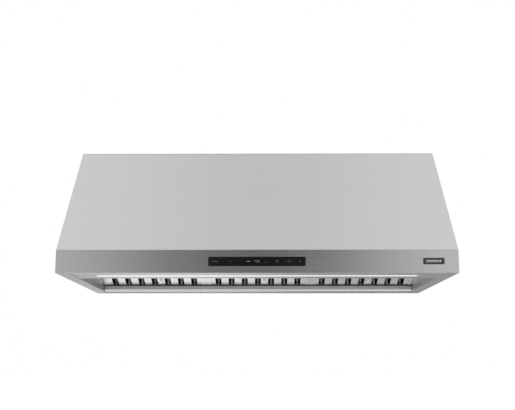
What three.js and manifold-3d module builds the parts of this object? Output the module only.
// A 48 inch under cabinet range hood, in millimetres, +Z up.
//
// The hood hangs on a wall below a cabinet. The group's origin is on the wall face, at mid width and at the
// height of the wall screws. +X is to the right for someone standing at the cooker, +Y points into the wall.
// Inside this file everything is laid out in the hood's own coordinates: y is 0 at the front face and DEPTH at
// the wall, and z is 0 at the bottom rim. The last lines move the whole hood to its origin.
import * as THREE from "three";
import { mergeVertices } from "three/addons/utils/BufferGeometryUtils.js";
import Module from "manifold-3d";

const wasm = await Module();
wasm.setup();

// ---------------------------------------------------------------- driving dimensions
const INCH = 25.4;
const WIDTH = 48 * INCH;
const DEPTH = 24 * INCH;
const HEIGHT = 18 * INCH;
const FACE_HEIGHT = 2.75 * INCH; // the vertical face that holds the controls
const TOP_DEPTH = 12.5 * INCH; // the flat top, behind the slope
const SCREW_LINE = 400; // height of the wall screws above the rim

const SHEET = 1.5; // outer sheet metal
const THIN = 1.2; // inner sheet metal
const GAP = 0.3; // clearance left between two separate pieces

const RIM_FLANGE = 36; // bottom flange of each side panel
const REAR_FLANGE = 32; // bottom flange of the back panel
const LIGHT_PANEL_DEPTH = 149; // from the front face to the opening
const FILTER_COUNT = 3;
const FILTER_WIDTH = 380;
const FILTER_PITCH = 382.3;
const FILTER_LENGTH = 410;
const FILTER_THICKNESS = 24;
const FILTER_SLOPE = THREE.MathUtils.degToRad(25);
const FILTER_SHEET = 1;
const SLOT_PITCH = 48.7; // air slots of a baffle filter, centre to centre
const SLOT_COUNT = 7;
const SLOT_HALF = 11;
const HINGE_REACH = 10; // from the hinge rod to the end of the filter
const DUCT_RADIUS = 127; // 10 inch round duct
const ROUND_DUCT = 16; // curve steps in each half of a circle of the duct

// ---------------------------------------------------------------- derived sizes
const HALF = WIDTH / 2;
const SETBACK = DEPTH - TOP_DEPTH;
const RUN = SETBACK / (HEIGHT - FACE_HEIGHT); // how far the slope leans back for each millimetre of height
const SLOPE_COS = 1 / Math.hypot(1, RUN); // sheet thickness over its width along y
const RIM_INNER = HALF - RIM_FLANGE;
const FLOOR = SHEET + GAP; // height of what rests on the bottom flanges
const CEILING = HEIGHT - SHEET - GAP; // height of what hangs below the top panel
const BACK = DEPTH - SHEET - GAP; // front side of the back panel, less a gap
const DUCT_Y = SETBACK + TOP_DEPTH / 2;
const HALF_THICK = FILTER_THICKNESS / 2;
const FILTER_END = HINGE_REACH + FILTER_LENGTH;

// The grease tray's front wall, and the filter corner that hangs over it with room to swing down past it.
const TRAY_FRONT = 541.5;
const TRAY_TOP = 20.6;
const TRAY_REAR = DEPTH - REAR_FLANGE - 2.5;
const DRIP_CORNER = { y: TRAY_FRONT + 1.2, z: TRAY_TOP + 3.4 };
const HINGE = {
  y: DRIP_CORNER.y + HALF_THICK * Math.sin(FILTER_SLOPE) - FILTER_END * Math.cos(FILTER_SLOPE),
  z: DRIP_CORNER.z + HALF_THICK * Math.cos(FILTER_SLOPE) + FILTER_END * Math.sin(FILTER_SLOPE),
};

// ---------------------------------------------------------------- materials
function finish(color, roughness, metalness) {
  return new THREE.MeshStandardMaterial({ color, roughness, metalness });
}
const brushedSteel = finish(0xc4c5c6, 0.34, 1);
const innerSteel = finish(0xb4b6b8, 0.42, 1);
const filterSteel = finish(0xcfd0d1, 0.24, 1);
const galvanized = finish(0xa9adb0, 0.5, 0.9);
const aluminium = finish(0xb9bcc0, 0.4, 1);
const blackGlass = finish(0x0d0d0e, 0.08, 0);
const opal = finish(0xf4f6f8, 0.45, 0);
const darkPlate = finish(0x3a3b3d, 0.4, 0.6);
const blackPlastic = finish(0x18191a, 0.55, 0);
const circuitGreen = finish(0x1d5a35, 0.5, 0);
const motorGrey = finish(0x4a4d50, 0.45, 0.6);
const magnetBlack = finish(0x2a2a2c, 0.6, 0.2);
const springSteel = finish(0xaeb0b3, 0.3, 1);
const cableGrey = finish(0x2b2c2e, 0.6, 0);

// ---------------------------------------------------------------- solids
function solidOf(geometry) {
  const bare = geometry.index ? geometry.toNonIndexed() : geometry.clone();
  bare.deleteAttribute("normal");
  bare.deleteAttribute("uv");
  const merged = mergeVertices(bare, 1e-4);
  const vertProperties = merged.attributes.position.array;
  const triVerts = new Uint32Array(merged.index.array);
  return new wasm.Manifold(new wasm.Mesh({ numProp: 3, vertProperties, triVerts }));
}

function geometryOf(solid) {
  const mesh = solid.getMesh();
  const geometry = new THREE.BufferGeometry();
  geometry.setAttribute("position", new THREE.BufferAttribute(mesh.vertProperties.slice(), 3));
  geometry.setIndex(new THREE.BufferAttribute(mesh.triVerts.slice(), 1));
  geometry.computeVertexNormals();
  return geometry;
}

const join = (first, ...rest) => rest.reduce((whole, piece) => whole.add(piece), first);
const cut = (first, ...rest) => rest.reduce((whole, piece) => whole.subtract(piece), first);

const X = new THREE.Vector3(1, 0, 0);
const Y = new THREE.Vector3(0, 1, 0);
const Z = new THREE.Vector3(0, 0, 1);
const ALONG_X = new THREE.Matrix4().makeBasis(Y, Z, X); // a drawing in y and z, extruded along x
const ALONG_Y = new THREE.Matrix4().makeBasis(X, Z, Y.clone().negate()); // a drawing in x and z, along -y

function box(x0, x1, y0, y1, z0, z1) {
  const geometry = new THREE.BoxGeometry(x1 - x0, y1 - y0, z1 - z0);
  return solidOf(geometry.translate((x0 + x1) / 2, (y0 + y1) / 2, (z0 + z1) / 2));
}

function outline(points) {
  return new THREE.Shape(points.map(([a, b]) => new THREE.Vector2(a, b)));
}

function extrude(shape, depth, curveSegments = 6) {
  return new THREE.ExtrudeGeometry(shape, { depth, bevelEnabled: false, curveSegments });
}

function acrossX(shape, x0, x1, curveSegments) {
  return solidOf(extrude(shape, x1 - x0, curveSegments).applyMatrix4(ALONG_X).translate(x0, 0, 0));
}

function acrossY(shape, y0, y1, curveSegments) {
  return solidOf(extrude(shape, y1 - y0, curveSegments).applyMatrix4(ALONG_Y).translate(0, y1, 0));
}

function acrossZ(shape, z0, z1, curveSegments) {
  return solidOf(extrude(shape, z1 - z0, curveSegments).translate(0, 0, z0));
}

function circle(a, b, radius) {
  return new THREE.Shape().absarc(a, b, radius, 0, 2 * Math.PI, false);
}

function roundedRectangle(a, b, width, height, radius) {
  const shape = new THREE.Shape();
  const right = a + width / 2 - radius;
  const left = a - width / 2 + radius;
  const top = b + height / 2 - radius;
  const bottom = b - height / 2 + radius;
  shape.absarc(right, bottom, radius, -Math.PI / 2, 0, false);
  shape.absarc(right, top, radius, 0, Math.PI / 2, false);
  shape.absarc(left, top, radius, Math.PI / 2, Math.PI, false);
  shape.absarc(left, bottom, radius, Math.PI, 1.5 * Math.PI, false);
  return shape.closePath();
}

// The closed outline of a sheet that follows a bent line, with its thickness to the left of the line.
function bentSheet(line, thickness) {
  const left = line.slice(1).map(([a, b], i) => {
    const [c, d] = line[i];
    const length = Math.hypot(a - c, b - d);
    return [-(b - d) / length, (a - c) / length];
  });
  const inner = line.map(([a, b], i) => {
    const before = left[Math.max(i - 1, 0)];
    const after = left[Math.min(i, left.length - 1)];
    const mitre = thickness / (1 + before[0] * after[0] + before[1] * after[1]);
    return [a + (before[0] + after[0]) * mitre, b + (before[1] + after[1]) * mitre];
  });
  return outline([...line, ...inner.reverse()]);
}

// A solid of revolution about a line parallel to x, from a drawing of [x, radius] points.
function turned(profile, y, z, segments = 32) {
  const closed = [...profile, profile[0]].map(([x, radius]) => new THREE.Vector2(radius, -x));
  const geometry = new THREE.LatheGeometry(closed, segments).rotateZ(Math.PI / 2);
  return solidOf(geometry.translate(0, y, z));
}

function rod(x0, x1, y, z, radius, segments = 12) {
  const geometry = new THREE.CylinderGeometry(radius, radius, x1 - x0, segments).rotateZ(Math.PI / 2);
  return solidOf(geometry.translate((x0 + x1) / 2, y, z));
}

function cable(points, radius, steps) {
  const path = new THREE.CatmullRomCurve3(points.map((p) => new THREE.Vector3(...p)), false, "centripetal");
  const section = new THREE.Shape();
  const sides = 8;
  for (let i = 0; i < sides; i++) {
    const angle = (i / sides) * 2 * Math.PI;
    const [a, b] = [radius * Math.cos(angle), radius * Math.sin(angle)];
    if (i) section.lineTo(a, b);
    else section.moveTo(a, b);
  }
  section.closePath();
  return solidOf(new THREE.ExtrudeGeometry(section, { steps, extrudePath: path, bevelEnabled: false }));
}

const hood = new THREE.Group();

function piece(name, solid, material, parent = hood) {
  const mesh = new THREE.Mesh(geometryOf(solid), material);
  mesh.name = name;
  parent.add(mesh);
  return mesh;
}

// ---------------------------------------------------------------- outer shell
// y of the slope at a height, moved inwards by a thickness measured through the sheet
function slopeY(z, inset = 0) {
  return (z - FACE_HEIGHT) * RUN + inset / SLOPE_COS;
}

function canopySlope() {
  const bottom = FACE_HEIGHT + GAP;
  const inside = HALF - SHEET - GAP;
  const flange = 12;
  const sheet = outline([
    [slopeY(bottom), bottom],
    [slopeY(CEILING), CEILING],
    [slopeY(CEILING, SHEET), CEILING],
    [slopeY(bottom, SHEET), bottom],
  ]);
  const footStart = slopeY(bottom, SHEET / 2);
  const headStart = slopeY(CEILING - SHEET, SHEET / 2);
  piece(
    "canopy_slope",
    join(
      acrossX(sheet, -HALF, HALF),
      box(-inside, inside, footStart, footStart + flange, bottom, bottom + SHEET),
      box(-inside, inside, headStart, headStart + flange, CEILING - SHEET, CEILING),
    ),
    brushedSteel,
  );
}

const GLASS = { width: 294, height: 28, corner: 3.2, z: FACE_HEIGHT / 2 };
const BADGE = { x: 534, z: 35.5, width: 64, height: 19.5, thickness: THIN };

function controlFascia() {
  const face = outline([
    [-HALF, 0],
    [HALF, 0],
    [HALF, FACE_HEIGHT],
    [-HALF, FACE_HEIGHT],
  ]);
  const rim = 2 * GAP;
  face.holes.push(roundedRectangle(0, GLASS.z, GLASS.width + rim, GLASS.height + rim, GLASS.corner + GAP));
  const inside = HALF - SHEET - GAP;
  piece(
    "control_fascia",
    join(
      acrossY(face, 0, SHEET, 6),
      box(-inside, inside, SHEET / 2, 12, FACE_HEIGHT - SHEET, FACE_HEIGHT),
      box(-RIM_INNER + GAP, RIM_INNER - GAP, SHEET / 2, 16, 0, SHEET),
    ),
    brushedSteel,
  );
}

function sidePanel(name, side) {
  const front = SHEET + GAP;
  const inset = SHEET + GAP;
  const knee = FACE_HEIGHT + (front - inset / SLOPE_COS) / RUN; // where the slope's inside meets the face's
  const wall = outline([
    [front, 0],
    [DEPTH, 0],
    [DEPTH, CEILING],
    [slopeY(CEILING, inset), CEILING],
    [front, knee],
  ]);
  const [outer, inner] = [side * HALF, side * (HALF - SHEET)];
  const flangeEnd = side * RIM_INNER;
  piece(
    name,
    join(
      acrossX(wall, Math.min(outer, inner), Math.max(outer, inner)),
      box(Math.min(flangeEnd, outer), Math.max(flangeEnd, outer), front, DEPTH, 0, SHEET),
    ),
    brushedSteel,
  );
}

function keyhole(x, z) {
  const [head, neck, rise] = [7, 3.5, 16];
  const dip = Math.acos(neck / head); // where the neck leaves the round head
  const shape = new THREE.Shape();
  shape.absarc(x, z + rise, neck, 0, Math.PI, false);
  shape.absarc(x, z, head, Math.PI - dip, 2 * Math.PI + dip, false);
  return shape.closePath();
}

function backPanel() {
  const inside = HALF - SHEET - GAP;
  const between = RIM_INNER - GAP; // between the side panels' flanges the wall reaches down to the rim
  const wall = outline([
    [-inside, FLOOR],
    [-between, FLOOR],
    [-between, 0],
    [between, 0],
    [between, FLOOR],
    [inside, FLOOR],
    [inside, CEILING],
    [-inside, CEILING],
  ]);
  const studs = 16 * INCH;
  for (const x of [-studs, -studs / 2, studs / 2, studs]) wall.holes.push(keyhole(x, SCREW_LINE));
  for (const x of [-studs, studs]) wall.holes.push(circle(x, 90, 3.5));
  piece(
    "back_panel",
    join(
      acrossY(wall, DEPTH - SHEET, DEPTH, 5),
      box(-between, between, DEPTH - REAR_FLANGE, DEPTH - SHEET / 2, 0, SHEET),
    ),
    galvanized,
  );
}

function topPanel() {
  const plate = outline([
    [-HALF, SETBACK],
    [HALF, SETBACK],
    [HALF, DEPTH],
    [-HALF, DEPTH],
  ]);
  const [edge, screw, knockout] = [32, 3.5, 11];
  for (const x of [edge - HALF, HALF - edge]) {
    for (const y of [SETBACK + edge, DEPTH - edge]) plate.holes.push(circle(x, y, screw));
  }
  plate.holes.push(circle(430, DEPTH - 60, knockout));
  const hole = circle(0, DUCT_Y, DUCT_RADIUS + GAP);
  piece(
    "top_panel",
    cut(acrossZ(plate, HEIGHT - SHEET, HEIGHT, 5), acrossZ(hole, CEILING, HEIGHT + 1, ROUND_DUCT)),
    galvanized,
  );
}

function badge() {
  const plate = roundedRectangle(BADGE.x, BADGE.z, BADGE.width, BADGE.height, 0.8);
  piece("badge_plate", acrossY(plate, -GAP - BADGE.thickness, -GAP, 3), darkPlate);
}

// ---------------------------------------------------------------- light and controls
const LIGHT = { half: 501, front: 72, back: 102 };

function lightPanel() {
  const inside = HALF - SHEET - GAP;
  const foot = FLOOR + SHEET;
  piece(
    "light_panel",
    cut(
      join(
        box(-inside, inside, SHEET + GAP, LIGHT_PANEL_DEPTH, FLOOR, foot),
        box(-RIM_INNER + 1, RIM_INNER - 1, LIGHT_PANEL_DEPTH - SHEET, LIGHT_PANEL_DEPTH, FLOOR, 40),
      ),
      box(-LIGHT.half - GAP, LIGHT.half + GAP, LIGHT.front - GAP, LIGHT.back + GAP, 0, foot + 1),
    ),
    brushedSteel,
  );
}

function lightUnit() {
  const { half, front, back } = LIGHT;
  const foot = FLOOR + SHEET + GAP;
  const [lip, top, board] = [5, 22, 1.6];
  const [side, near, far] = [half + lip, front - lip, back + lip];
  piece("led_lens", box(-half, half, front, back, FLOOR - 0.2, FLOOR + 2.4), opal);
  piece(
    "led_channel",
    cut(
      box(-side, side, near, far, foot, top),
      box(-side + SHEET, side - SHEET, near + SHEET, far - SHEET, foot - 1, top - SHEET),
    ),
    aluminium,
  );
  const middle = (front + back) / 2;
  piece(
    "led_board",
    box(-half + 6, half - 6, middle - 9, middle + 9, top - SHEET - GAP - board, top - SHEET - GAP),
    circuitGreen,
  );
  const driver = { left: -560, right: -400, depth: 46, low: 205, high: 250 };
  piece(
    "led_driver",
    box(driver.left, driver.right, BACK - driver.depth, BACK, driver.low, driver.high),
    galvanized,
  );
}

function controls() {
  const { width, height, corner, z } = GLASS;
  const wall = 2;
  piece("touch_glass", acrossY(roundedRectangle(0, z, width, height, corner), 0.1, 3.1, 6), blackGlass);
  const [halfWidth, start, end] = [157, SHEET + GAP, 21];
  const [low, high] = [z - 20, z + 20];
  piece(
    "control_housing",
    cut(
      box(-halfWidth, halfWidth, start, end, low, high),
      box(-halfWidth + wall, halfWidth - wall, start - 1, end - wall, low + wall, high - wall),
    ),
    blackPlastic,
  );
  const board = { half: 145, front: 6, back: 7.6, reach: 14 };
  piece(
    "control_board",
    box(-board.half, board.half, board.front, board.back, z - board.reach, z + board.reach),
    circuitGreen,
  );
}

// ---------------------------------------------------------------- inner liner, hinge rail and stop rail
const LINER_Y = LIGHT_PANEL_DEPTH + GAP; // front of the front liner
const RAIL_Y = LINER_Y + SHEET + GAP;
const RAIL_TOP = HINGE.z + 19.5;

function frontLiner() {
  piece(
    "front_liner",
    box(-RIM_INNER + GAP, RIM_INNER - GAP, LINER_Y, LINER_Y + SHEET, FLOOR, RAIL_TOP),
    innerSteel,
  );
}

function sideLiner(name, side) {
  const [front, rear] = [RAIL_Y, BACK];
  const wall = outline([
    [front, FLOOR],
    [rear, FLOOR],
    [rear, 140],
    [front, 250],
  ]);
  const [inner, outer] = [side * RIM_INNER, side * (RIM_INNER + SHEET)];
  const foot = side * (RIM_INNER + 16);
  piece(
    name,
    join(
      acrossX(wall, Math.min(inner, outer), Math.max(inner, outer)),
      box(Math.min(inner, foot), Math.max(inner, foot), front, rear, FLOOR, FLOOR + SHEET),
    ),
    innerSteel,
  );
}

const filterX = (index) => (index - (FILTER_COUNT - 1) / 2) * FILTER_PITCH;
const LUG_X = 140;
const HOOK_X = 118;
const ROD_RADIUS = 3;

// An open hook that carries a hinge rod from below, hanging from the rail at zTop.
function hookOutline(zTop) {
  const [inner, outer, tip] = [ROD_RADIUS + 0.6, ROD_RADIUS + 3.1, THREE.MathUtils.degToRad(345)];
  const shape = new THREE.Shape();
  shape.moveTo(HINGE.y - outer, zTop);
  shape.absarc(HINGE.y, HINGE.z, outer, Math.PI, tip, false);
  shape.absarc(HINGE.y, HINGE.z, inner, tip, Math.PI, true);
  shape.lineTo(HINGE.y - inner, zTop);
  return shape.closePath();
}

function hingeRail() {
  const reach = RIM_INNER - 2;
  const [drop, lip] = [34, HINGE.y + 14];
  const rail = bentSheet(
    [
      [RAIL_Y, RAIL_TOP - drop],
      [RAIL_Y, RAIL_TOP],
      [lip, RAIL_TOP],
    ].reverse(),
    SHEET,
  );
  const hooks = [];
  const hookWidth = 16;
  for (let i = 0; i < FILTER_COUNT; i++) {
    for (const side of [-1, 1]) {
      const x = filterX(i) + side * HOOK_X;
      hooks.push(acrossX(hookOutline(RAIL_TOP - SHEET / 2), x - hookWidth / 2, x + hookWidth / 2, 5));
    }
  }
  piece("filter_hinge_rail", join(acrossX(rail, -reach, reach), ...hooks), innerSteel);
}

// A point of the filters' plane: u runs down the filter from its hinge, n stands up from its middle.
function onFilter(u, n) {
  const [c, s] = [Math.cos(FILTER_SLOPE), Math.sin(FILTER_SLOPE)];
  return [HINGE.y + u * c + n * s, HINGE.z - u * s + n * c];
}

const MAGNET = { u: FILTER_END - 17, length: 14, width: 40, height: 6.6 };

function stopRail() {
  const reach = RIM_INNER - 2;
  const face = HALF_THICK + GAP + MAGNET.height + GAP;
  const bend = onFilter(FILTER_END + 4, face);
  const line = [onFilter(FILTER_END - 36, face), bend, [BACK - SHEET, bend[1]], [BACK - SHEET, bend[1] + 15]];
  piece("filter_stop_rail", acrossX(bentSheet(line, SHEET), -reach, reach), innerSteel);
}

// ---------------------------------------------------------------- grease tray
function greaseTray() {
  const reach = RIM_INNER - 1.7;
  const [bottom, knee, rearTop] = [FLOOR + 0.2, 8, 32];
  const toe = 6; // how far the bend below the knee runs back
  const line = [
    [TRAY_FRONT, TRAY_TOP],
    [TRAY_FRONT, knee],
    [TRAY_FRONT + toe, bottom],
    [TRAY_REAR, bottom],
    [TRAY_REAR, rearTop],
  ];
  const end = outline(line);
  piece(
    "grease_tray",
    join(
      acrossX(bentSheet(line, THIN), -reach, reach),
      acrossX(end, -reach, -reach + THIN),
      acrossX(end, reach - THIN, reach),
    ),
    innerSteel,
  );
}

// A leaf spring that leans from the back panel onto the tray's rear wall and flares at its tip.
function trayClip(name, x) {
  const [leaf, halfWidth, flare] = [1, 12, 3];
  const [top, root, touch, tip] = [48, 42, 27, 19]; // heights along the leaf
  const contact = TRAY_REAR + GAP + leaf;
  const line = [
    [BACK - leaf, top],
    [BACK - leaf, root],
    [contact, touch],
    [contact + flare, tip],
  ];
  piece(name, acrossX(bentSheet(line, leaf), x - halfWidth, x + halfWidth), springSteel);
}

// ---------------------------------------------------------------- baffle filters
// A filter is drawn in its own frame: x across, y down its length from the hinge, z up from its middle.
function filterFrame() {
  const [half, skin, lip] = [FILTER_WIDTH / 2, FILTER_SHEET, 14];
  const [start, end] = [HINGE_REACH, FILTER_END];
  const drain = 2.5; // the lower lip is narrow at the low end, where the grease runs out
  const hole = { slots: [-3, 0, 3], half: 7, low: -2, high: 2 }; // drain holes in the low end
  const body = cut(
    box(-half, half, start, end, -HALF_THICK, HALF_THICK),
    box(-half + skin, half - skin, start + skin, end - skin, -HALF_THICK + skin, HALF_THICK - skin),
    box(-half + lip, half - lip, start + lip, end - drain, -HALF_THICK - 1, -HALF_THICK + skin + 1),
    box(-half + lip, half - lip, start + lip, end - lip, HALF_THICK - skin - 1, HALF_THICK + 1),
    ...hole.slots.map((slot) => {
      const x = slot * SLOT_PITCH;
      return box(x - hole.half, x + hole.half, end - 2, end + 1, hole.low, hole.high);
    }),
  );
  const lugs = [-LUG_X, LUG_X].map((x) => {
    const [width, ring] = [8, 6];
    return cut(
      join(
        rod(x - width / 2, x + width / 2, 0, 0, ring),
        box(x - width / 2, x + width / 2, 0, start + skin / 2, -ring + 1, ring - 1),
      ),
      rod(x - width, x + width, 0, 0, ROD_RADIUS + GAP),
    );
  });
  return join(body, ...lugs);
}

const BAFFLE_REACH = FILTER_WIDTH / 2 - FILTER_SHEET - GAP;
const BAFFLE_START = HINGE_REACH + FILTER_SHEET + GAP;
const BAFFLE_END = FILTER_END - FILTER_SHEET - GAP;

// A strip drawn across the filter, in x and z, and run along it.
function strip(shape) {
  return acrossY(shape, BAFFLE_START, BAFFLE_END);
}

function lowerBaffles() {
  const [web, top, skin] = [-HALF_THICK + FILTER_SHEET + GAP, 1, FILTER_SHEET];
  const channels = [];
  const lastSlot = (SLOT_COUNT - 1) / 2;
  for (let i = -lastSlot - 1; i <= lastSlot; i++) {
    const left = Math.max(i * SLOT_PITCH + SLOT_HALF, -BAFFLE_REACH);
    const right = Math.min((i + 1) * SLOT_PITCH - SLOT_HALF, BAFFLE_REACH);
    channels.push(
      strip(
        bentSheet(
          [
            [left, top],
            [left, web],
            [right, web],
            [right, top],
          ],
          skin,
        ),
      ),
    );
  }
  const ties = [
    box(-BAFFLE_REACH, BAFFLE_REACH, BAFFLE_START, BAFFLE_START + 5, web, web + skin),
    box(-BAFFLE_REACH, BAFFLE_REACH, BAFFLE_END - 1.6, BAFFLE_END, web, web + skin),
  ];
  return join(...channels, ...ties);
}

function upperBaffles() {
  const [crown, shoulder, edge, skin] = [HALF_THICK - FILTER_SHEET - GAP, 2, -3, FILTER_SHEET];
  const [flat, wide] = [6, 17];
  const lastSlot = (SLOT_COUNT - 1) / 2;
  const hats = [];
  for (let i = -lastSlot; i <= lastSlot; i++) {
    const x = i * SLOT_PITCH;
    hats.push(
      strip(
        bentSheet(
          [
            [x + wide, edge],
            [x + wide, shoulder],
            [x + flat, crown],
            [x - flat, crown],
            [x - wide, shoulder],
            [x - wide, edge],
          ],
          skin,
        ),
      ),
    );
  }
  const ties = [
    box(-BAFFLE_REACH, BAFFLE_REACH, BAFFLE_START, BAFFLE_START + 6, crown - skin, crown),
    box(-BAFFLE_REACH, BAFFLE_REACH, BAFFLE_END - 6, BAFFLE_END, crown - skin, crown),
  ];
  return join(...hats, ...ties);
}

const KNOB_INSET = 31; // from the low end of the filter

function knobSolid() {
  const seat = -HALF_THICK + FILTER_SHEET; // the underside of the bar it is fixed to, less a gap
  const profile = [
    [0, seat],
    [4, seat],
    [3.2, seat - 3],
    [5.4, seat - 4.6],
    [5.6, seat - 6.4],
    [4.2, seat - 7.8],
    [0, seat - 8.2],
  ].map(([radius, z]) => new THREE.Vector2(radius, z));
  const geometry = new THREE.LatheGeometry(profile.reverse(), 16).rotateX(Math.PI / 2);
  return solidOf(geometry.translate(SLOT_PITCH / 2, FILTER_END - KNOB_INSET, 0));
}

function filters() {
  const [frame, lower, upper, knob] = [filterFrame(), lowerBaffles(), upperBaffles(), knobSolid()];
  const hinge = rod(-150, 150, 0, 0, ROD_RADIUS);
  const magnet = box(
    -MAGNET.width / 2,
    MAGNET.width / 2,
    MAGNET.u - MAGNET.length / 2,
    MAGNET.u + MAGNET.length / 2,
    HALF_THICK + GAP,
    HALF_THICK + GAP + MAGNET.height,
  );
  for (let i = 0; i < FILTER_COUNT; i++) {
    const seat = new THREE.Group();
    seat.position.set(filterX(i), HINGE.y, HINGE.z);
    seat.rotation.x = -FILTER_SLOPE;
    hood.add(seat);
    const name = `filter_${i + 1}`;
    piece(`${name}_frame`, frame, filterSteel, seat);
    piece(`${name}_lower_baffles`, lower, filterSteel, seat);
    piece(`${name}_upper_baffles`, upper, filterSteel, seat);
    piece(`${name}_knob`, knob, filterSteel, seat);
    piece(`${name}_hinge_rod`, hinge, springSteel, seat);
    piece(`catch_magnet_${i + 1}`, magnet, magnetBlack, seat);
  }
}

// ---------------------------------------------------------------- blower
const SHAFT = { y: 440, z: 300, radius: 6 };
const WHEEL = { outer: 75, inner: 62, start: 91, end: 199, blades: 24 };
const SCROLL = { small: 86, large: 120, start: 85, end: 205, mouth: 58, cutoff: 25 * THREE.MathUtils.DEG2RAD };
const PLENUM = { half: 225, reach: 137, floor: 396 };

// The outline of a scroll casing, or of its hollow when it is moved in by a wall and run out at the top.
function scrollOutline(inset, top) {
  const turn = 1.5 * Math.PI;
  const points = [];
  const steps = 20;
  for (let i = 0; i <= steps; i++) {
    const angle = -SCROLL.cutoff + ((turn + SCROLL.cutoff) * i) / steps; // from straight up, towards the front
    const grow = Math.max(angle, 0) / turn;
    const radius = SCROLL.small + (SCROLL.large - SCROLL.small) * grow - inset;
    points.push([SHAFT.y - radius * Math.sin(angle), SHAFT.z + radius * Math.cos(angle)]);
  }
  points.push([SHAFT.y + SCROLL.large - inset, top]);
  points.push([points[0][0] + 2 * inset, top]);
  if (inset) points.push([points[0][0] + 2 * inset, points[0][1]]);
  return outline(points);
}

function scroll(name, side) {
  const top = PLENUM.floor - GAP;
  const [near, far] = [side * SCROLL.start, side * SCROLL.end];
  const [x0, x1] = [Math.min(near, far), Math.max(near, far)];
  piece(
    name,
    cut(
      acrossX(scrollOutline(0, top), x0, x1),
      acrossX(scrollOutline(THIN, top + 5), x0 + THIN, x1 - THIN),
      rod(x0 - 1, x1 + 1, SHAFT.y, SHAFT.z, SCROLL.mouth, 20),
    ),
    galvanized,
  );
}

function bladeOutline(index) {
  const turn = (index / WHEEL.blades) * 2 * Math.PI;
  const [thickness, lead] = [1.2, 0.16]; // lead: how far the outer edge runs ahead, in radians
  const at = (radius, share, offset) => {
    const angle = turn + lead * share * share;
    const [a, b] = [Math.cos(angle), Math.sin(angle)];
    return [SHAFT.y + radius * a - offset * b, SHAFT.z + radius * b + offset * a];
  };
  const stations = [0, 1].map((share) => [WHEEL.inner + (WHEEL.outer - WHEEL.inner) * share, share]);
  const ahead = stations.map(([radius, share]) => at(radius, share, thickness / 2));
  const behind = stations.map(([radius, share]) => at(radius, share, -thickness / 2));
  return outline([...ahead, ...behind.reverse()]);
}

function impeller(name, side) {
  const [near, far] = [side * WHEEL.start, side * WHEEL.end];
  const [x0, x1] = [Math.min(near, far), Math.max(near, far)];
  const middle = (x0 + x1) / 2;
  const ring = (a, b, inner, outer, segments) =>
    turned(
      [
        [a, inner],
        [b, inner],
        [b, outer],
        [a, outer],
      ],
      SHAFT.y,
      SHAFT.z,
      segments,
    );
  const bore = SHAFT.radius + GAP;
  const blades = [];
  for (let i = 0; i < WHEEL.blades; i++) blades.push(acrossX(bladeOutline(i), x0 + 0.5, x1 - 0.5));
  piece(
    name,
    join(
      ring(x0, x0 + 2, WHEEL.inner, WHEEL.outer, WHEEL.blades),
      ring(x1 - 2, x1, WHEEL.inner, WHEEL.outer, WHEEL.blades),
      ring(middle - 1, middle + 1, bore, WHEEL.inner + 4, WHEEL.blades),
      ring(middle - 14, middle + 14, bore, 15, 12),
      ...blades,
    ),
    galvanized,
  );
}

function motor() {
  const bore = SHAFT.radius + GAP;
  const profile = [
    [-60, bore],
    [-60, 14],
    [-50, 15],
    [-50, 44],
    [-45, 50],
    [45, 50],
    [50, 44],
    [50, 15],
    [60, 14],
    [60, bore],
  ];
  piece("motor", turned(profile.reverse(), SHAFT.y, SHAFT.z, 24), motorGrey);
  const [grip, outer, half, leg] = [50.4, 52.6, 14, 40];
  const top = PLENUM.floor - GAP;
  const foot = (side) => {
    const inner = SHAFT.y + side * leg;
    const outerEdge = SHAFT.y + side * (leg + 16);
    return box(-half, half, Math.min(inner, outerEdge), Math.max(inner, outerEdge), top - 2, top);
  };
  const post = (side) => {
    const middle = SHAFT.y + side * (leg + 1);
    return box(-half, half, middle - 1, middle + 1, SHAFT.z, top);
  };
  piece(
    "motor_cradle",
    join(
      cut(
        join(rod(-half, half, SHAFT.y, SHAFT.z, outer, 24), post(-1), post(1)),
        rod(-half - 1, half + 1, SHAFT.y, SHAFT.z, grip + GAP, 24),
      ),
      foot(-1),
      foot(1),
    ),
    galvanized,
  );
  piece("blower_shaft", rod(-188, 188, SHAFT.y, SHAFT.z, SHAFT.radius), springSteel);
}

function plenum() {
  const { half, reach, floor } = PLENUM;
  const [front, rear] = [DUCT_Y - reach, DUCT_Y + reach];
  const throatFront = SHAFT.y + SCROLL.small * Math.sin(SCROLL.cutoff) + 3;
  const throatRear = SHAFT.y + SCROLL.large - 3;
  const throat = (side) => {
    const [near, far] = [side * (SCROLL.start + 3), side * (SCROLL.end - 3)];
    return box(Math.min(near, far), Math.max(near, far), throatFront, throatRear, floor - 1, floor + 5);
  };
  const flange = 14;
  piece(
    "blower_plenum",
    cut(
      join(
        box(-half, half, front, rear, floor, CEILING),
        box(-half - flange, half + flange, front, rear, CEILING - SHEET, CEILING),
      ),
      box(-half + THIN, half - THIN, front + THIN, rear - THIN, floor + THIN, CEILING + 1),
      throat(-1),
      throat(1),
    ),
    galvanized,
  );
  const capacitor = { left: -330, right: -255, y: 352, z: 372, radius: 19 };
  piece(
    "run_capacitor",
    rod(capacitor.left, capacitor.right, capacitor.y, capacitor.z, capacitor.radius, 24),
    aluminium,
  );
}

// ---------------------------------------------------------------- duct collar and backdraught damper
const DAMPER = { z: HEIGHT - 27, apart: 6, knuckle: 4, rod: 2.5, drop: 4, plate: 1.2 };

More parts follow.
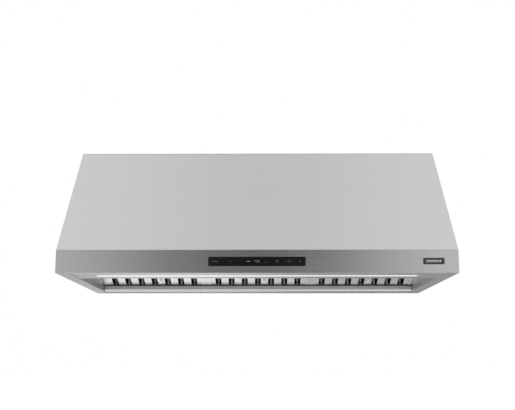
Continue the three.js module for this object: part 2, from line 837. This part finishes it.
function collar() {
  const [inner, outer] = [DUCT_RADIUS - SHEET, DUCT_RADIUS];
  const [flange, ledge] = [4, 6]; // how far the rims reach outwards and inwards
  const foot = DAMPER.z - DAMPER.drop - GAP - 2; // the open end, well above the plenum's floor
  const tube = (a, b, low, high) => {
    const shape = circle(0, DUCT_Y, b);
    shape.holes.push(circle(0, DUCT_Y, a));
    return acrossZ(shape, low, high, ROUND_DUCT);
  };
  piece(
    "outlet_collar",
    cut(
      join(
        tube(inner, outer, foot, HEIGHT),
        tube(inner + 0.5, outer + flange, CEILING - SHEET, CEILING),
        tube(inner - ledge, inner + 0.5, foot, foot + SHEET),
      ),
      rod(-HALF, HALF, DUCT_Y - DAMPER.apart, DAMPER.z, DAMPER.rod + GAP),
      rod(-HALF, HALF, DUCT_Y + DAMPER.apart, DAMPER.z, DAMPER.rod + GAP),
    ),
    galvanized,
  );
}

function damper(name, side) {
  const radius = DUCT_RADIUS - SHEET - 2;
  const hinge = DUCT_Y + side * DAMPER.apart;
  const low = DAMPER.z - DAMPER.drop;
  const disc = acrossZ(circle(0, DUCT_Y, radius), low, low + DAMPER.plate, ROUND_DUCT);
  const beyond = DUCT_Y + side * 200;
  const half = box(-200, 200, Math.min(hinge, beyond), Math.max(hinge, beyond), low - 1, low + 5);
  const reach = 110;
  piece(
    `damper_flap_${name}`,
    cut(
      join(disc.intersect(half), rod(-reach, reach, hinge, DAMPER.z, DAMPER.knuckle)),
      rod(-reach - 1, reach + 1, hinge, DAMPER.z, DAMPER.rod + GAP),
    ),
    aluminium,
  );
  const rodEnd = DUCT_RADIUS - 0.2;
  piece(`damper_rod_${name}`, rod(-rodEnd, rodEnd, hinge, DAMPER.z, DAMPER.rod), springSteel);
}

// ---------------------------------------------------------------- wiring
function wiring() {
  const [x0, x1, y0, y1, z0, z1] = [480, 590, 528, BACK, 390, CEILING];
  piece(
    "junction_box",
    cut(box(x0, x1, y0, y1, z0, z1), box(x0 + THIN, x1 - THIN, y0 - 1, y1 - THIN, z0 + THIN, z1 - THIN)),
    galvanized,
  );
  piece("junction_cover", box(x0, x1, y0 - GAP - THIN, y0 - GAP, z0, z1), galvanized);
  piece(
    "control_harness",
    cable(
      [
        [158, 11, 36],
        [176, 12, 34],
        [220, 24, 14],
        [320, 27, 9],
        [520, 27, 9],
        [575, 34, 12],
        [592, 62, 34],
        [592, 120, 110],
        [592, 220, 240],
        [588, 330, 350],
        [562, 430, 400],
        [540, 490, 418],
        [537, 525, 420],
      ],
      3.5,
      40,
    ),
    cableGrey,
  );
  piece(
    "led_lead",
    cable(
      [
        [-507, 87, 14],
        [-530, 88, 14],
        [-572, 98, 16],
        [-592, 130, 34],
        [-592, 250, 110],
        [-592, 400, 190],
        [-590, 520, 226],
        [-580, 568, 229],
        [-562, 583, 229],
      ],
      2.5,
      34,
    ),
    cableGrey,
  );
  piece(
    "motor_lead",
    cable(
      [
        [0, 395, 330],
        [0, 372, 350],
        [20, 345, 372],
        [120, 326, 384],
        [260, 330, 386],
        [380, 400, 404],
        [440, 500, 418],
        [474, 560, 420],
      ],
      3,
      24,
    ),
    cableGrey,
  );
}

canopySlope();
controlFascia();
sidePanel("side_panel_left", -1);
sidePanel("side_panel_right", 1);
backPanel();
topPanel();
badge();
lightPanel();
lightUnit();
controls();
frontLiner();
sideLiner("side_liner_left", -1);
sideLiner("side_liner_right", 1);
hingeRail();
stopRail();
greaseTray();
trayClip("tray_clip_left", -300);
trayClip("tray_clip_right", 300);
filters();
scroll("scroll_casing_left", -1);
scroll("scroll_casing_right", 1);
impeller("impeller_left", -1);
impeller("impeller_right", 1);
motor();
plenum();
collar();
damper("front", -1);
damper("rear", 1);
wiring();

hood.position.set(0, -DEPTH, -SCREW_LINE);
const rangeHood = new THREE.Group();
rangeHood.add(hood);

export default rangeHood;
